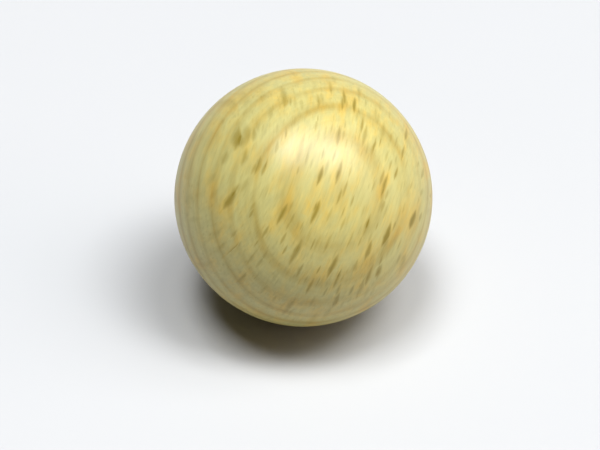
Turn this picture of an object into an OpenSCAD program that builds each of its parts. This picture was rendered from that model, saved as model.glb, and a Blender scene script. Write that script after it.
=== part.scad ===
// Plain wooden ball, turned from one blank of beech and sanded smooth all over.
// Units are millimetres. The origin is the centre of the ball and +Z is up.

/* [Ball] */
// Diameter of the ball
ball_d = 30; // [20:1:50]

/* [Hidden] */
// Steps round the ball in a preview
preview_steps = 128;
// Pale yellow beech
beech = [0.78, 0.73, 0.46];

// The ball: one solid piece, with no bore, flat or seam
module ball() {
    color(beech)
        sphere(d = ball_d, $fn = preview_steps);
}

ball();
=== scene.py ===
"""A solid turned ball of pale beech on a plain studio floor.

The file is laid out as an add-on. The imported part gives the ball's size and place. One operator
turns the ball and finishes it as sanded beech, and the other sets the floor, lights and camera.
Lengths in the grain of the wood and of the lens are in millimetres, and all others in metres.
"""
import math
from typing import NamedTuple

import bpy
from mathutils import Matrix, Vector


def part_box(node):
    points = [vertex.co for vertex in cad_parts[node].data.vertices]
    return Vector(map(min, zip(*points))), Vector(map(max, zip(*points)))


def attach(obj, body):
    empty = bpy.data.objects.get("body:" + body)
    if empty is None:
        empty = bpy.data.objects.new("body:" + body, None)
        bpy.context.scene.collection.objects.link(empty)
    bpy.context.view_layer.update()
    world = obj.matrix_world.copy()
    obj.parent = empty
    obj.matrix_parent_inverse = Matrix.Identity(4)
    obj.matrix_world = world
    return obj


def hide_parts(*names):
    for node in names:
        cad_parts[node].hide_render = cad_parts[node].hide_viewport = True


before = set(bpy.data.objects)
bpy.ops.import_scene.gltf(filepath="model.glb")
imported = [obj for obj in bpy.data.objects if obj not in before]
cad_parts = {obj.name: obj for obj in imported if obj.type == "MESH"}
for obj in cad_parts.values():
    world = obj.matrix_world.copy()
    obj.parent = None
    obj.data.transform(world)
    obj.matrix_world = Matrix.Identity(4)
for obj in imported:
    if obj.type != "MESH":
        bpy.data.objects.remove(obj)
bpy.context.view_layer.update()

bl_info = {
    "name": "Turned Beech Ball",
    "version": (1, 0, 0),
    "blender": (4, 5, 0),
    "location": "3D View > Sidebar > Beech Ball",
    "description": "Turns a solid beech ball and sets it on a studio floor",
    "category": "Add Mesh",
}

LOWEST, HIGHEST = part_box("ball")
BALL_CENTRE = (LOWEST + HIGHEST) / 2
BALL_WIDTH = max(HIGHEST - LOWEST)
MM_PER_METRE = 1000


class StreakKind(NamedTuple):
    """Noise in the wood: how fast it changes each way, to a millimetre, and how fine it is."""

    around: float
    along: float
    outward: float
    detail: float
    roughness: float
    shift: float


class MarkKind(NamedTuple):
    """Spindle-shaped marks in the wood, scattered one to a cell.

    Width is round the trunk, height along the grain and depth outwards from the heart. Spread
    is the width of a cell against that of its mark, and its height likewise. A higher rarity
    leaves fewer strong marks. A mark is at its darkest out to full and has faded away at gone,
    which are distances from its middle that are 1 at its edge.
    """

    width: float
    height: float
    depth: float
    spread: float
    rarity: float
    full: float
    gone: float
    darkness: float
    shift: float


FIBRES = StreakKind(
    around=2.6, along=0.35, outward=1.6, detail=3, roughness=0.6, shift=5
)
MOTTLE = StreakKind(
    around=1.0, along=0.40, outward=0.8, detail=3, roughness=0.6, shift=31
)
WARM_PATCHES = StreakKind(
    around=0.34, along=0.16, outward=0.34, detail=3, roughness=0.6, shift=57
)
RING_LINES = StreakKind(
    around=0.05, along=0.04, outward=1.5, detail=3, roughness=0.65, shift=3
)
RING_BREAKS = StreakKind(
    around=0.25, along=0.15, outward=0.5, detail=2, roughness=0.5, shift=13
)
MARK_WANDER = StreakKind(
    around=1.1, along=0.8, outward=0.15, detail=2, roughness=0.5, shift=0
)

BOLD_RAYS = MarkKind(
    width=0.66,
    height=2.4,
    depth=6.0,
    spread=2.2,
    rarity=0.8,
    full=0.2,
    gone=1.6,
    darkness=1.05,
    shift=11.3,
)
SMALL_RAYS = MarkKind(
    width=0.42,
    height=1.5,
    depth=2.5,
    spread=2.0,
    rarity=1.1,
    full=0.2,
    gone=1.6,
    darkness=0.62,
    shift=23.7,
)
PORES = MarkKind(
    width=0.20,
    height=3.4,
    depth=0.5,
    spread=1.5,
    rarity=1.2,
    full=0.1,
    gone=1.5,
    darkness=0.25,
    shift=37.1,
)

# The depth of a cell against that of its mark
DEPTH_SPREAD = 1.1

# The smallest mark against the size of its kind, and how much bigger the biggest is
SMALLEST_MARK = 0.7
MARK_RANGE = 0.6

# How far a mark bends sideways, in its own widths
MARK_BEND = 0.25

# How far bands and rays stray, and how fast that changes across and along the grain
BAND_STRAY = 0.6
RAY_STRAY = 0.3
STRAY_ACROSS = 0.10
STRAY_ALONG = 0.06

# How narrow the dark line of a band is, and how dark the faintest line and the range above it
LINE_SHARPNESS = 80
FAINTEST_LINE = 0.08
LINE_RANGE = 0.75

# How much the wood darkens slowly on the way to that line
BAND_SWELL = 0.28

# How dark the bands are on average, how much they come and go, and the fine lines between
BAND_STRENGTH = 0.9
BAND_CHANGE = 1.2
FINE_LINES = 0.6

# How dark rays show on the sides of the ball, and the facing at which they start to show more
# and at which they show fully
SIDE_RAYS = 0.3
FACING_START = 0.1
FACING_END = 0.55

# Where the warm wood about a bold ray ends, and where it is full, by distance from its middle
HALO_END = 6.0
HALO_FULL = 0.5

# What makes the wood warm, and the sums at which none and all of it is
WARM_BY_PATCH = 1.1
WARM_BY_MOTTLE = 0.65
WARM_BY_HALO = 0.55
WARM_START = -0.25
WARM_END = 1.12

# How much the fibres and the mottle change the wood's brightness, and the fibres its gloss
FIBRE_SHADE = 0.15
MOTTLE_SHADE = 0.14
FIBRE_DULLING = 0.03

# Height of the fibres against the depth of the rays, and that depth in metres
FIBRE_HEIGHT = 0.15
BUMP_STRENGTH = 0.25
BUMP_DEPTH = 0.00003

FLOOR_MOTTLE_SCALE = 40
FLOOR_MOTTLE = 0.004
FLOOR_ROUGHNESS = 0.65
FLOOR_SHEEN = 0.15

# Panels of the map, one to each face of the blank
PANEL_COLUMNS = 3
PANEL_ROWS = 2
PANEL_GAP = 0.006

# A slightly cool white, and the warm white of light that comes back off a room
COOL_WHITE = (0.955, 0.99, 1.0)
WARM_WHITE = (1.0, 0.86, 0.74)
LAMP_HEIGHT = 3.0
FILL_DISTANCE = 3.0
VIEW_GAMMA = 1 / 1.1

# Where the camera's view starts, against its distance from the ball, and where it ends
NEAR_SHARE = 0.05
FAR_END = 50


class BeechBallShape(bpy.types.PropertyGroup):
    """The ball's size and how its face is divided."""

    width: bpy.props.FloatProperty(
        name="Width",
        description="Diameter of the ball",
        default=BALL_WIDTH,
        min=0.005,
        unit="LENGTH",
    )
    halvings: bpy.props.IntProperty(
        name="Halvings",
        description="How many times each edge of the blank is halved as it is rounded",
        default=7,
        min=2,
        max=7,
    )
    sanding_depth: bpy.props.FloatProperty(
        name="Sanding depth",
        description="The most that sanding takes off the true ball",
        default=0.00006,
        min=0,
        unit="LENGTH",
    )
    sanding_width: bpy.props.FloatProperty(
        name="Sanding width",
        description="Width of the patches that sanding leaves",
        default=0.006,
        min=0.001,
        unit="LENGTH",
    )


class BeechBallGrain(bpy.types.PropertyGroup):
    """How the ball lay in the tree."""

    grain_turn: bpy.props.FloatProperty(
        name="Grain turn",
        description="Direction of the grain round the vertical, from the ball's right",
        default=math.radians(64),
        subtype="ANGLE",
    )
    grain_rise: bpy.props.FloatProperty(
        name="Grain rise",
        description="Angle of the grain above level",
        default=math.radians(42),
        subtype="ANGLE",
    )
    heart_turn: bpy.props.FloatProperty(
        name="Heart turn",
        description="Direction of the tree's heart, round the grain",
        default=math.radians(123),
        subtype="ANGLE",
    )
    heart_distance: bpy.props.FloatProperty(
        name="Heart distance",
        description="Distance from the tree's heart to the middle of the ball",
        default=0.0479,
        min=0.02,
        unit="LENGTH",
    )
    ring_pitch: bpy.props.FloatProperty(
        name="Ring pitch",
        description="Growth in one year, from one dark band to the next",
        default=0.00235,
        min=0.0005,
        unit="LENGTH",
    )
    ring_start: bpy.props.FloatProperty(
        name="Ring start",
        description="Distance from the heart to the first dark band in the ball",
        default=0.0341,
        min=0,
        unit="LENGTH",
    )
    ring_seed: bpy.props.IntProperty(
        name="Ring seed",
        description="Picks how dark each year's band is",
        default=44,
    )


class BeechBallFinish(bpy.types.PropertyGroup):
    """Colours of the wood and the gloss of its face."""

    spring_wood: bpy.props.FloatVectorProperty(
        name="Spring wood",
        description="Pale wood between the dark bands",
        default=(0.488, 0.437, 0.176),
        subtype="COLOR",
        min=0,
        max=1,
    )
    summer_wood: bpy.props.FloatVectorProperty(
        name="Summer wood",
        description="Tint of the dark band that ends each year's growth, over the pale wood",
        default=(0.80, 0.70, 0.48),
        subtype="COLOR",
        min=0,
        max=1,
    )
    warm_wood: bpy.props.FloatVectorProperty(
        name="Warm wood",
        description="Orange wood that lies in patches and about the bold rays",
        default=(0.54, 0.395, 0.10),
        subtype="COLOR",
        min=0,
        max=1,
    )
    ray_wood: bpy.props.FloatVectorProperty(
        name="Ray wood",
        description="The rays and pores, where they come to the face",
        default=(0.25, 0.185, 0.022),
        subtype="COLOR",
        min=0,
        max=1,
    )
    roughness: bpy.props.FloatProperty(
        name="Roughness",
        description="Roughness of the sanded and sealed face",
        default=0.38,
        min=0,
        max=1,
        subtype="FACTOR",
    )


class BeechBallStage(bpy.types.PropertyGroup):
    """The floor, the room and the camera."""

    floor_width: bpy.props.FloatProperty(
        name="Floor width",
        description="Width of the floor",
        default=4.0,
        min=0.5,
        unit="LENGTH",
    )
    floor_colour: bpy.props.FloatVectorProperty(
        name="Floor colour",
        description="Colour of the floor",
        default=(0.525, 0.518, 0.528),
        subtype="COLOR",
        min=0,
        max=1,
    )
    room_colour: bpy.props.FloatVectorProperty(
        name="Room colour",
        description="Colour of the room behind the floor",
        default=(0.93, 0.94, 0.96),
        subtype="COLOR",
        min=0,
        max=1,
    )
    room_brightness: bpy.props.FloatProperty(
        name="Room brightness",
        description="Brightness of the room, as it is seen and as the ball reflects it",
        default=0.65,
        min=0,
    )
    camera_rise: bpy.props.FloatProperty(
        name="Camera rise",
        description="Angle of the camera above level",
        default=math.radians(38.5),
        subtype="ANGLE",
    )
    lens: bpy.props.FloatProperty(
        name="Lens",
        description="Focal length of the camera, in millimetres",
        default=85,
        min=20,
    )
    ball_share: bpy.props.FloatProperty(
        name="Ball share",
        description="Width of the ball against the width of the picture",
        default=0.431,
        min=0.05,
        max=1,
        subtype="FACTOR",
    )
    aim_below: bpy.props.FloatProperty(
        name="Aim below",
        description="How far below the ball's middle the camera aims, in radii of the ball",
        default=0.212,
    )
    aim_left: bpy.props.FloatProperty(
        name="Aim left",
        description="How far left of the ball's middle the camera aims, in radii of the ball",
        default=0.026,
    )


class Field:
    """A value that varies over the surface. Sums on it add Math nodes."""

    def __init__(self, recipe, socket):
        self.recipe = recipe
        self.socket = socket

    def __add__(self, other):
        return self.recipe.maths("ADD", self, other)

    def __radd__(self, other):
        return self.recipe.maths("ADD", other, self)

    def __sub__(self, other):
        return self.recipe.maths("SUBTRACT", self, other)

    def __rsub__(self, other):
        return self.recipe.maths("SUBTRACT", other, self)

    def __mul__(self, other):
        return self.recipe.maths("MULTIPLY", self, other)

    def __rmul__(self, other):
        return self.recipe.maths("MULTIPLY", other, self)

    def __truediv__(self, other):
        return self.recipe.maths("DIVIDE", self, other)

    def __rtruediv__(self, other):
        return self.recipe.maths("DIVIDE", other, self)

    def __abs__(self):
        return self.recipe.maths("ABSOLUTE", self)

    def lesser(self, other):
        return self.recipe.maths("MINIMUM", self, other)

    def greater(self, other):
        return self.recipe.maths("MAXIMUM", self, other)


class Recipe:
    """The nodes of one material."""

    def __init__(self, name):
        self.material = bpy.data.materials.new(name)
        self.material.use_nodes = True
        self.tree = self.material.node_tree
        self.tree.nodes.clear()

    def node(self, kind, settings=None, inputs=None):
        """Adds a node of this kind: its settings first, then values or links for its sockets."""
        made = self.tree.nodes.new(kind)
        for name, value in (settings or {}).items():
            setattr(made, name, value)
        for name, value in (inputs or {}).items():
            if isinstance(value, Field):
                self.tree.links.new(value.socket, made.inputs[name])
            else:
                made.inputs[name].default_value = value
        return made

    def out(self, made, name=0):
        return Field(self, made.outputs[name])

    def maths(self, operation, *values):
        made = self.node("ShaderNodeMath", {"operation": operation}, dict(enumerate(values)))
        return self.out(made)

    def fade(self, field, start, end):
        """0 where field is at start, rising smoothly to 1 where it is at end."""
        made = self.node(
            "ShaderNodeMapRange",
            {"interpolation_type": "SMOOTHSTEP"},
            {"Value": field, "From Min": start, "From Max": end},
        )
        return self.out(made)

    def place(self, x, y, z):
        return self.out(self.node("ShaderNodeCombineXYZ", None, {"X": x, "Y": y, "Z": z}))

    def noise(self, place, scale=1.0, detail=2.0, roughness=0.5):
        """Smooth noise from about -1 to 1."""
        made = self.node(
            "ShaderNodeTexNoise",
            {"noise_dimensions": "3D"},
            {"Vector": place, "Scale": scale, "Detail": detail, "Roughness": roughness},
        )
        return 2 * self.out(made, "Fac") - 1

    def blend(self, factor, first, second, blend_type="MIX"):
        """Mixes two colours."""
        made = self.node(
            "ShaderNodeMix",
            {"data_type": "RGBA", "blend_type": blend_type},
            {0: factor, 6: first, 7: second},
        )
        return self.out(made, 2)

    def brighten(self, colour, factor):
        made = self.node(
            "ShaderNodeVectorMath", {"operation": "SCALE"}, {0: colour, "Scale": factor}
        )
        return self.out(made)


def opaque(colour):
    """A colour with full alpha, as a node's socket takes it."""
    return (*colour, 1.0)


def log_axes(grain):
    """Rows are the log's axes: round the trunk, outwards from the heart, and along the grain."""
    rise = Vector((0, 0, math.sin(grain.grain_rise)))
    level = Vector((math.cos(grain.grain_turn), math.sin(grain.grain_turn), 0))
    along = level * math.cos(grain.grain_rise) + rise
    beside = Vector((-level.y, level.x, 0))
    above = along.cross(beside)
    heart = beside * math.cos(grain.heart_turn) + above * math.sin(grain.heart_turn)
    outward = -heart
    trunk = outward.cross(along)
    return Matrix((trunk, outward, along))


class Wood:
    """Where each point of the ball lay in the log, in millimetres.

    Facing is 1 where the ball's face looks at the heart or the bark, and 0 on its sides.
    """

    def __init__(self, recipe, grain):
        self.recipe = recipe
        heart_distance = grain.heart_distance * MM_PER_METRE
        axes = log_axes(grain)
        middle = axes @ BALL_CENTRE * MM_PER_METRE
        mapped = recipe.node(
            "ShaderNodeMapping",
            {"vector_type": "POINT"},
            {
                "Vector": recipe.out(recipe.node("ShaderNodeTexCoord"), "Object"),
                "Location": Vector((0, heart_distance, 0)) - middle,
                "Rotation": axes.to_euler("XYZ"),
                "Scale": (MM_PER_METRE,) * 3,
            },
        )
        apart = recipe.node("ShaderNodeSeparateXYZ", None, {0: recipe.out(mapped)})
        across = recipe.out(apart, "X")
        outward = recipe.out(apart, "Y")
        self.along = recipe.out(apart, "Z")
        ball_radius = BALL_WIDTH / 2 * MM_PER_METRE
        towards = (outward - heart_distance) / ball_radius
        self.facing = (towards * towards).lesser(1.0)
        slow = recipe.place(
            across * STRAY_ACROSS, outward * STRAY_ACROSS, self.along * STRAY_ALONG
        )
        stray = recipe.noise(slow)
        from_heart = recipe.maths("SQRT", across * across + outward * outward)
        self.radius = from_heart + BAND_STRAY * stray
        turn = recipe.maths("ARCTAN2", across, outward)
        self.around = turn * heart_distance + RAY_STRAY * stray

    def streaks(self, kind):
        """Noise of this kind, from about -1 to 1."""
        place = self.recipe.place(
            self.around * kind.around + kind.shift,
            self.along * kind.along + kind.shift,
            self.radius * kind.outward + kind.shift,
        )
        return self.recipe.noise(place, detail=kind.detail, roughness=kind.roughness)

    def marks(self, kind):
        """Marks of this kind: the distance from a mark's middle, its strength and its darkness."""
        recipe = self.recipe
        bend = MARK_BEND * kind.width * self.streaks(MARK_WANDER._replace(shift=kind.shift))
        place = (
            (self.around + bend) / (kind.width * kind.spread) + kind.shift,
            self.along / (kind.height * kind.spread) + kind.shift,
            self.radius / (kind.depth * DEPTH_SPREAD) + kind.shift,
        )
        cells = recipe.node(
            "ShaderNodeTexVoronoi",
            {"voronoi_dimensions": "3D", "feature": "F1"},
            {"Vector": recipe.place(*place), "Scale": 1.0, "Randomness": 1.0},
        )
        middle = recipe.node("ShaderNodeSeparateXYZ", None, {0: recipe.out(cells, "Position")})
        random = recipe.node("ShaderNodeSeparateColor", None, {0: recipe.out(cells, "Color")})
        size = SMALLEST_MARK + MARK_RANGE * recipe.out(random, "Green")
        halves = 2 * kind.spread / size
        beside = abs(place[0] - recipe.out(middle, "X")) * halves
        above = abs(place[1] - recipe.out(middle, "Y")) * halves
        beyond = abs(place[2] - recipe.out(middle, "Z")) * (2 * DEPTH_SPREAD)
        distance = beside + above * above + beyond * beyond
        strength = recipe.maths("POWER", recipe.out(random, "Red"), kind.rarity)
        darkness = recipe.fade(distance, kind.gone, kind.full) * strength * kind.darkness
        return distance, strength, darkness


def summer_wood(recipe, wood, grain):
    """About 1 in the dark band that ends each year's growth, and 0 in the pale wood."""
    years = (wood.radius - grain.ring_start * MM_PER_METRE) / (grain.ring_pitch * MM_PER_METRE)
    year = recipe.maths("ROUND", years)
    off = years - year
    line = 1 / (1 + off * off * LINE_SHARPNESS)
    random = recipe.node(
        "ShaderNodeTexWhiteNoise", {"noise_dimensions": "1D"}, {"W": year + grain.ring_seed}
    )
    depth = FAINTEST_LINE + LINE_RANGE * recipe.out(random, "Value")
    swell = BAND_SWELL * (0.5 + 0.5 * recipe.maths("COSINE", years * math.tau))
    strength = BAND_STRENGTH + BAND_CHANGE * wood.streaks(RING_BREAKS)
    return (line * depth + swell) * strength + FINE_LINES * wood.streaks(RING_LINES)


def beech(grain, finish):
    """Sanded and sealed beech: year rings, rays, pores, fibres and a slow change of colour."""
    recipe = Recipe("beech")
    wood = Wood(recipe, grain)
    summer = summer_wood(recipe, wood, grain)
    fibres = wood.streaks(FIBRES)
    mottle = wood.streaks(MOTTLE)

    from_bold, bold_strength, bold = wood.marks(BOLD_RAYS)
    _, _, small = wood.marks(SMALL_RAYS)
    _, _, pores = wood.marks(PORES)
    turned = recipe.fade(wood.facing, FACING_START, FACING_END)
    shown = SIDE_RAYS + (1 - SIDE_RAYS) * turned
    rays = (bold + small) * shown + pores

    halo = recipe.fade(from_bold, HALO_END, HALO_FULL) * bold_strength
    warmth = (
        WARM_BY_PATCH * wood.streaks(WARM_PATCHES)
        + WARM_BY_MOTTLE * mottle
        + WARM_BY_HALO * halo
    )
    warm = recipe.fade(warmth, WARM_START, WARM_END)

    colour = recipe.blend(warm, opaque(finish.spring_wood), opaque(finish.warm_wood))
    dark = recipe.blend(1.0, colour, opaque(finish.summer_wood), "MULTIPLY")
    colour = recipe.blend(summer.lesser(1.0).greater(0.0), colour, dark)
    colour = recipe.brighten(colour, 1 + FIBRE_SHADE * fibres + MOTTLE_SHADE * mottle)
    colour = recipe.blend(rays.lesser(1.0), colour, opaque(finish.ray_wood))

    bump = recipe.node(
        "ShaderNodeBump",
        None,
        {
            "Strength": BUMP_STRENGTH,
            "Distance": BUMP_DEPTH,
            "Height": FIBRE_HEIGHT * fibres - rays,
        },
    )
    shader = recipe.node(
        "ShaderNodeBsdfPrincipled",
        None,
        {
            "Base Color": colour,
            "Roughness": finish.roughness + FIBRE_DULLING * fibres,
            "Normal": recipe.out(bump),
        },
    )
    recipe.node("ShaderNodeOutputMaterial", None, {"Surface": recipe.out(shader)})
    return recipe.material


def floor_finish(colour):
    """A matt pale board with a faint mottle."""
    recipe = Recipe("pale_floor")
    where = recipe.out(recipe.node("ShaderNodeTexCoord"), "Object")
    mottle = recipe.noise(where, FLOOR_MOTTLE_SCALE)
    shader = recipe.node(
        "ShaderNodeBsdfPrincipled",
        None,
        {
            "Base Color": recipe.brighten(colour, 1 + FLOOR_MOTTLE * mottle),
            "Roughness": FLOOR_ROUGHNESS,
            "Specular IOR Level": FLOOR_SHEEN,
        },
    )
    recipe.node("ShaderNodeOutputMaterial", None, {"Surface": recipe.out(shader)})
    return recipe.material


def lay_out_faces(blank):
    """Gives each of the blank cube's six faces its own panel of the map."""
    panels = blank.data.uv_layers[0]
    panels.name = "OFBake"
    corners = ((0, 0), (1, 0), (1, 1), (0, 1))
    width = 1 / PANEL_COLUMNS
    height = 1 / PANEL_ROWS
    for number, face in enumerate(blank.data.polygons):
        row, column = divmod(number, PANEL_COLUMNS)
        for loop, (right, top) in zip(face.loop_indices, corners):
            across = PANEL_GAP + right * (width - 2 * PANEL_GAP)
            up = PANEL_GAP + top * (height - 2 * PANEL_GAP)
            panels.data[loop].uv = (column * width + across, row * height + up)


def sand(ball, shape):
    """Takes a little off the face here and there, as sanding by hand does."""
    unevenness = bpy.data.textures.new("sanding", "CLOUDS")
    unevenness.noise_scale = shape.sanding_width
    bpy.ops.object.modifier_add(type="DISPLACE")
    sanding = ball.modifiers[-1]
    sanding.texture = unevenness
    sanding.texture_coords = "LOCAL"
    sanding.strength = shape.sanding_depth
    sanding.mid_level = 1.0
    bpy.ops.object.modifier_apply(modifier=sanding.name)


def turn_ball(shape):
    """Rounds a cube, halving its edges and pressing it to a ball in turn, so all faces are even."""
    bpy.ops.object.select_all(action="DESELECT")
    bpy.ops.mesh.primitive_cube_add(size=shape.width, location=BALL_CENTRE)
    ball = bpy.context.object
    ball.name = "turned_ball"
    lay_out_faces(ball)
    bpy.ops.object.mode_set(mode="EDIT")
    for _ in range(shape.halvings):
        bpy.ops.mesh.select_all(action="SELECT")
        bpy.ops.mesh.subdivide(number_cuts=1)
        bpy.ops.transform.tosphere(value=1.0)
    bpy.ops.object.mode_set(mode="OBJECT")
    reach = max(vertex.co.length for vertex in ball.data.vertices)
    bpy.ops.object.mode_set(mode="EDIT")
    bpy.ops.transform.resize(value=(shape.width / 2 / reach,) * 3)
    bpy.ops.object.mode_set(mode="OBJECT")
    bpy.ops.object.transform_apply(location=True, rotation=True, scale=True)
    sand(ball, shape)
    bpy.ops.object.shade_smooth()
    return ball


class BEECHBALL_OT_turn(bpy.types.Operator):
    """Turns the ball and finishes it as sanded beech"""

    bl_idname = "beech_ball.turn"
    bl_label = "Turn the Ball"

    def execute(self, context):
        ball = turn_ball(context.scene.beech_ball_shape)
        ball.data.materials.clear()
        ball.data.materials.append(
            beech(context.scene.beech_ball_grain, context.scene.beech_ball_finish)
        )
        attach(ball, "root")
        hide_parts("ball")
        return {"FINISHED"}


def lay_floor(stage, radius):
    """Lays the floor so that the ball touches it."""
    bpy.ops.object.select_all(action="DESELECT")
    bpy.ops.mesh.primitive_plane_add(
        size=stage.floor_width, location=BALL_CENTRE - Vector((0, 0, radius))
    )
    floor = bpy.context.object
    floor.name = "floor"
    floor.data.materials.append(floor_finish(stage.floor_colour))


def direction(turn, rise):
    """A unit vector, turned from the front of the ball towards its right and raised."""
    turn = math.radians(turn)
    rise = math.radians(rise)
    return Vector(
        (math.sin(turn) * math.cos(rise), -math.cos(turn) * math.cos(rise), math.sin(rise))
    )


def hang_lamp(name, place, width, depth, power, colour=COOL_WHITE):
    """An area light that faces the ball and isn't seen itself."""
    lamp = bpy.data.lights.new(name, "AREA")
    lamp.shape = "RECTANGLE"
    lamp.size = width
    lamp.size_y = depth
    lamp.energy = power
    lamp.color = colour
    holder = bpy.data.objects.new(name, lamp)
    holder.location = place
    holder.rotation_mode = "QUATERNION"
    holder.rotation_quaternion = place.to_track_quat("Z", "Y")
    holder.visible_camera = False
    bpy.context.scene.collection.objects.link(holder)


def hang_lamps():
    """Three soft lights high up, and a low one on the right and another at the back."""
    left = Vector((-0.36, -0.38, LAMP_HEIGHT))
    right = Vector((1.20, -0.43, LAMP_HEIGHT))
    far_right = Vector((1.90, -0.28, LAMP_HEIGHT))
    low_right = direction(turn=78, rise=22) * FILL_DISTANCE
    low_back = direction(turn=180, rise=25) * FILL_DISTANCE
    hang_lamp("overhead_left", left, width=1.1, depth=1.1, power=81)
    hang_lamp("overhead_right", right, width=0.8, depth=1.6, power=70)
    hang_lamp("far_right", far_right, width=2.0, depth=2.0, power=54)
    hang_lamp("right_fill", low_right, width=2.0, depth=1.5, power=18, colour=WARM_WHITE)
    hang_lamp("back_fill", low_back, width=2.5, depth=1.5, power=3)


def paint_room(stage):
    """A pale room, which is seen and reflected but doesn't light what is matt."""
    world = bpy.data.worlds.new("pale_room")
    world.use_nodes = True
    background = world.node_tree.nodes["Background"]
    background.inputs["Color"].default_value = opaque(stage.room_colour)
    background.inputs["Strength"].default_value = stage.room_brightness
    world.cycles_visibility.diffuse = False
    bpy.context.scene.world = world
    bpy.context.scene.view_settings.view_transform = "Standard"
    bpy.context.scene.view_settings.gamma = VIEW_GAMMA


def place_camera(stage, radius):
    """Looks at the ball from the front and above, with the ball a little over the middle."""
    lens = bpy.data.cameras.new("camera")
    lens.lens = stage.lens
    camera = bpy.data.objects.new("camera", lens)
    bpy.context.scene.collection.objects.link(camera)
    bpy.context.scene.camera = camera
    back = direction(turn=0, rise=math.degrees(stage.camera_rise))
    up = Vector((0, math.sin(stage.camera_rise), math.cos(stage.camera_rise)))
    right = Vector((1, 0, 0))
    half_view = math.atan(stage.ball_share * lens.sensor_width / 2 / lens.lens)
    distance = radius / math.sin(half_view)
    camera.location = BALL_CENTRE + back * distance
    aim = BALL_CENTRE - (up * stage.aim_below + right * stage.aim_left) * radius
    camera.rotation_mode = "QUATERNION"
    camera.rotation_quaternion = (camera.location - aim).to_track_quat("Z", "Y")
    lens.clip_start = distance * NEAR_SHARE
    lens.clip_end = FAR_END


class BEECHBALL_OT_stage(bpy.types.Operator):
    """Lays the floor, hangs the lights and places the camera"""

    bl_idname = "beech_ball.stage"
    bl_label = "Set the Stage"

    def execute(self, context):
        stage = context.scene.beech_ball_stage
        radius = context.scene.beech_ball_shape.width / 2
        lay_floor(stage, radius)
        hang_lamps()
        paint_room(stage)
        place_camera(stage, radius)
        return {"FINISHED"}


class BEECHBALL_PT_sidebar(bpy.types.Panel):
    """Lists the values and the steps that make the ball and its stage."""

    bl_idname = "BEECHBALL_PT_sidebar"
    bl_label = "Beech Ball"
    bl_space_type = "VIEW_3D"
    bl_region_type = "UI"
    bl_category = "Beech Ball"

    def draw(self, context):
        for group in GROUPS:
            values = getattr(context.scene, group)
            for name in values.__annotations__:
                self.layout.prop(values, name)
        self.layout.operator(BEECHBALL_OT_turn.bl_idname)
        self.layout.operator(BEECHBALL_OT_stage.bl_idname)


GROUPS = {
    "beech_ball_shape": BeechBallShape,
    "beech_ball_grain": BeechBallGrain,
    "beech_ball_finish": BeechBallFinish,
    "beech_ball_stage": BeechBallStage,
}
CLASSES = (*GROUPS.values(), BEECHBALL_OT_turn, BEECHBALL_OT_stage, BEECHBALL_PT_sidebar)


def register():
    for made in CLASSES:
        bpy.utils.register_class(made)
    for name, group in GROUPS.items():
        setattr(bpy.types.Scene, name, bpy.props.PointerProperty(type=group))


def unregister():
    for name in GROUPS:
        delattr(bpy.types.Scene, name)
    for made in reversed(CLASSES):
        bpy.utils.unregister_class(made)


def main():
    register()
    bpy.ops.beech_ball.turn()
    bpy.ops.beech_ball.stage()


if __name__ == "__main__":
    main()
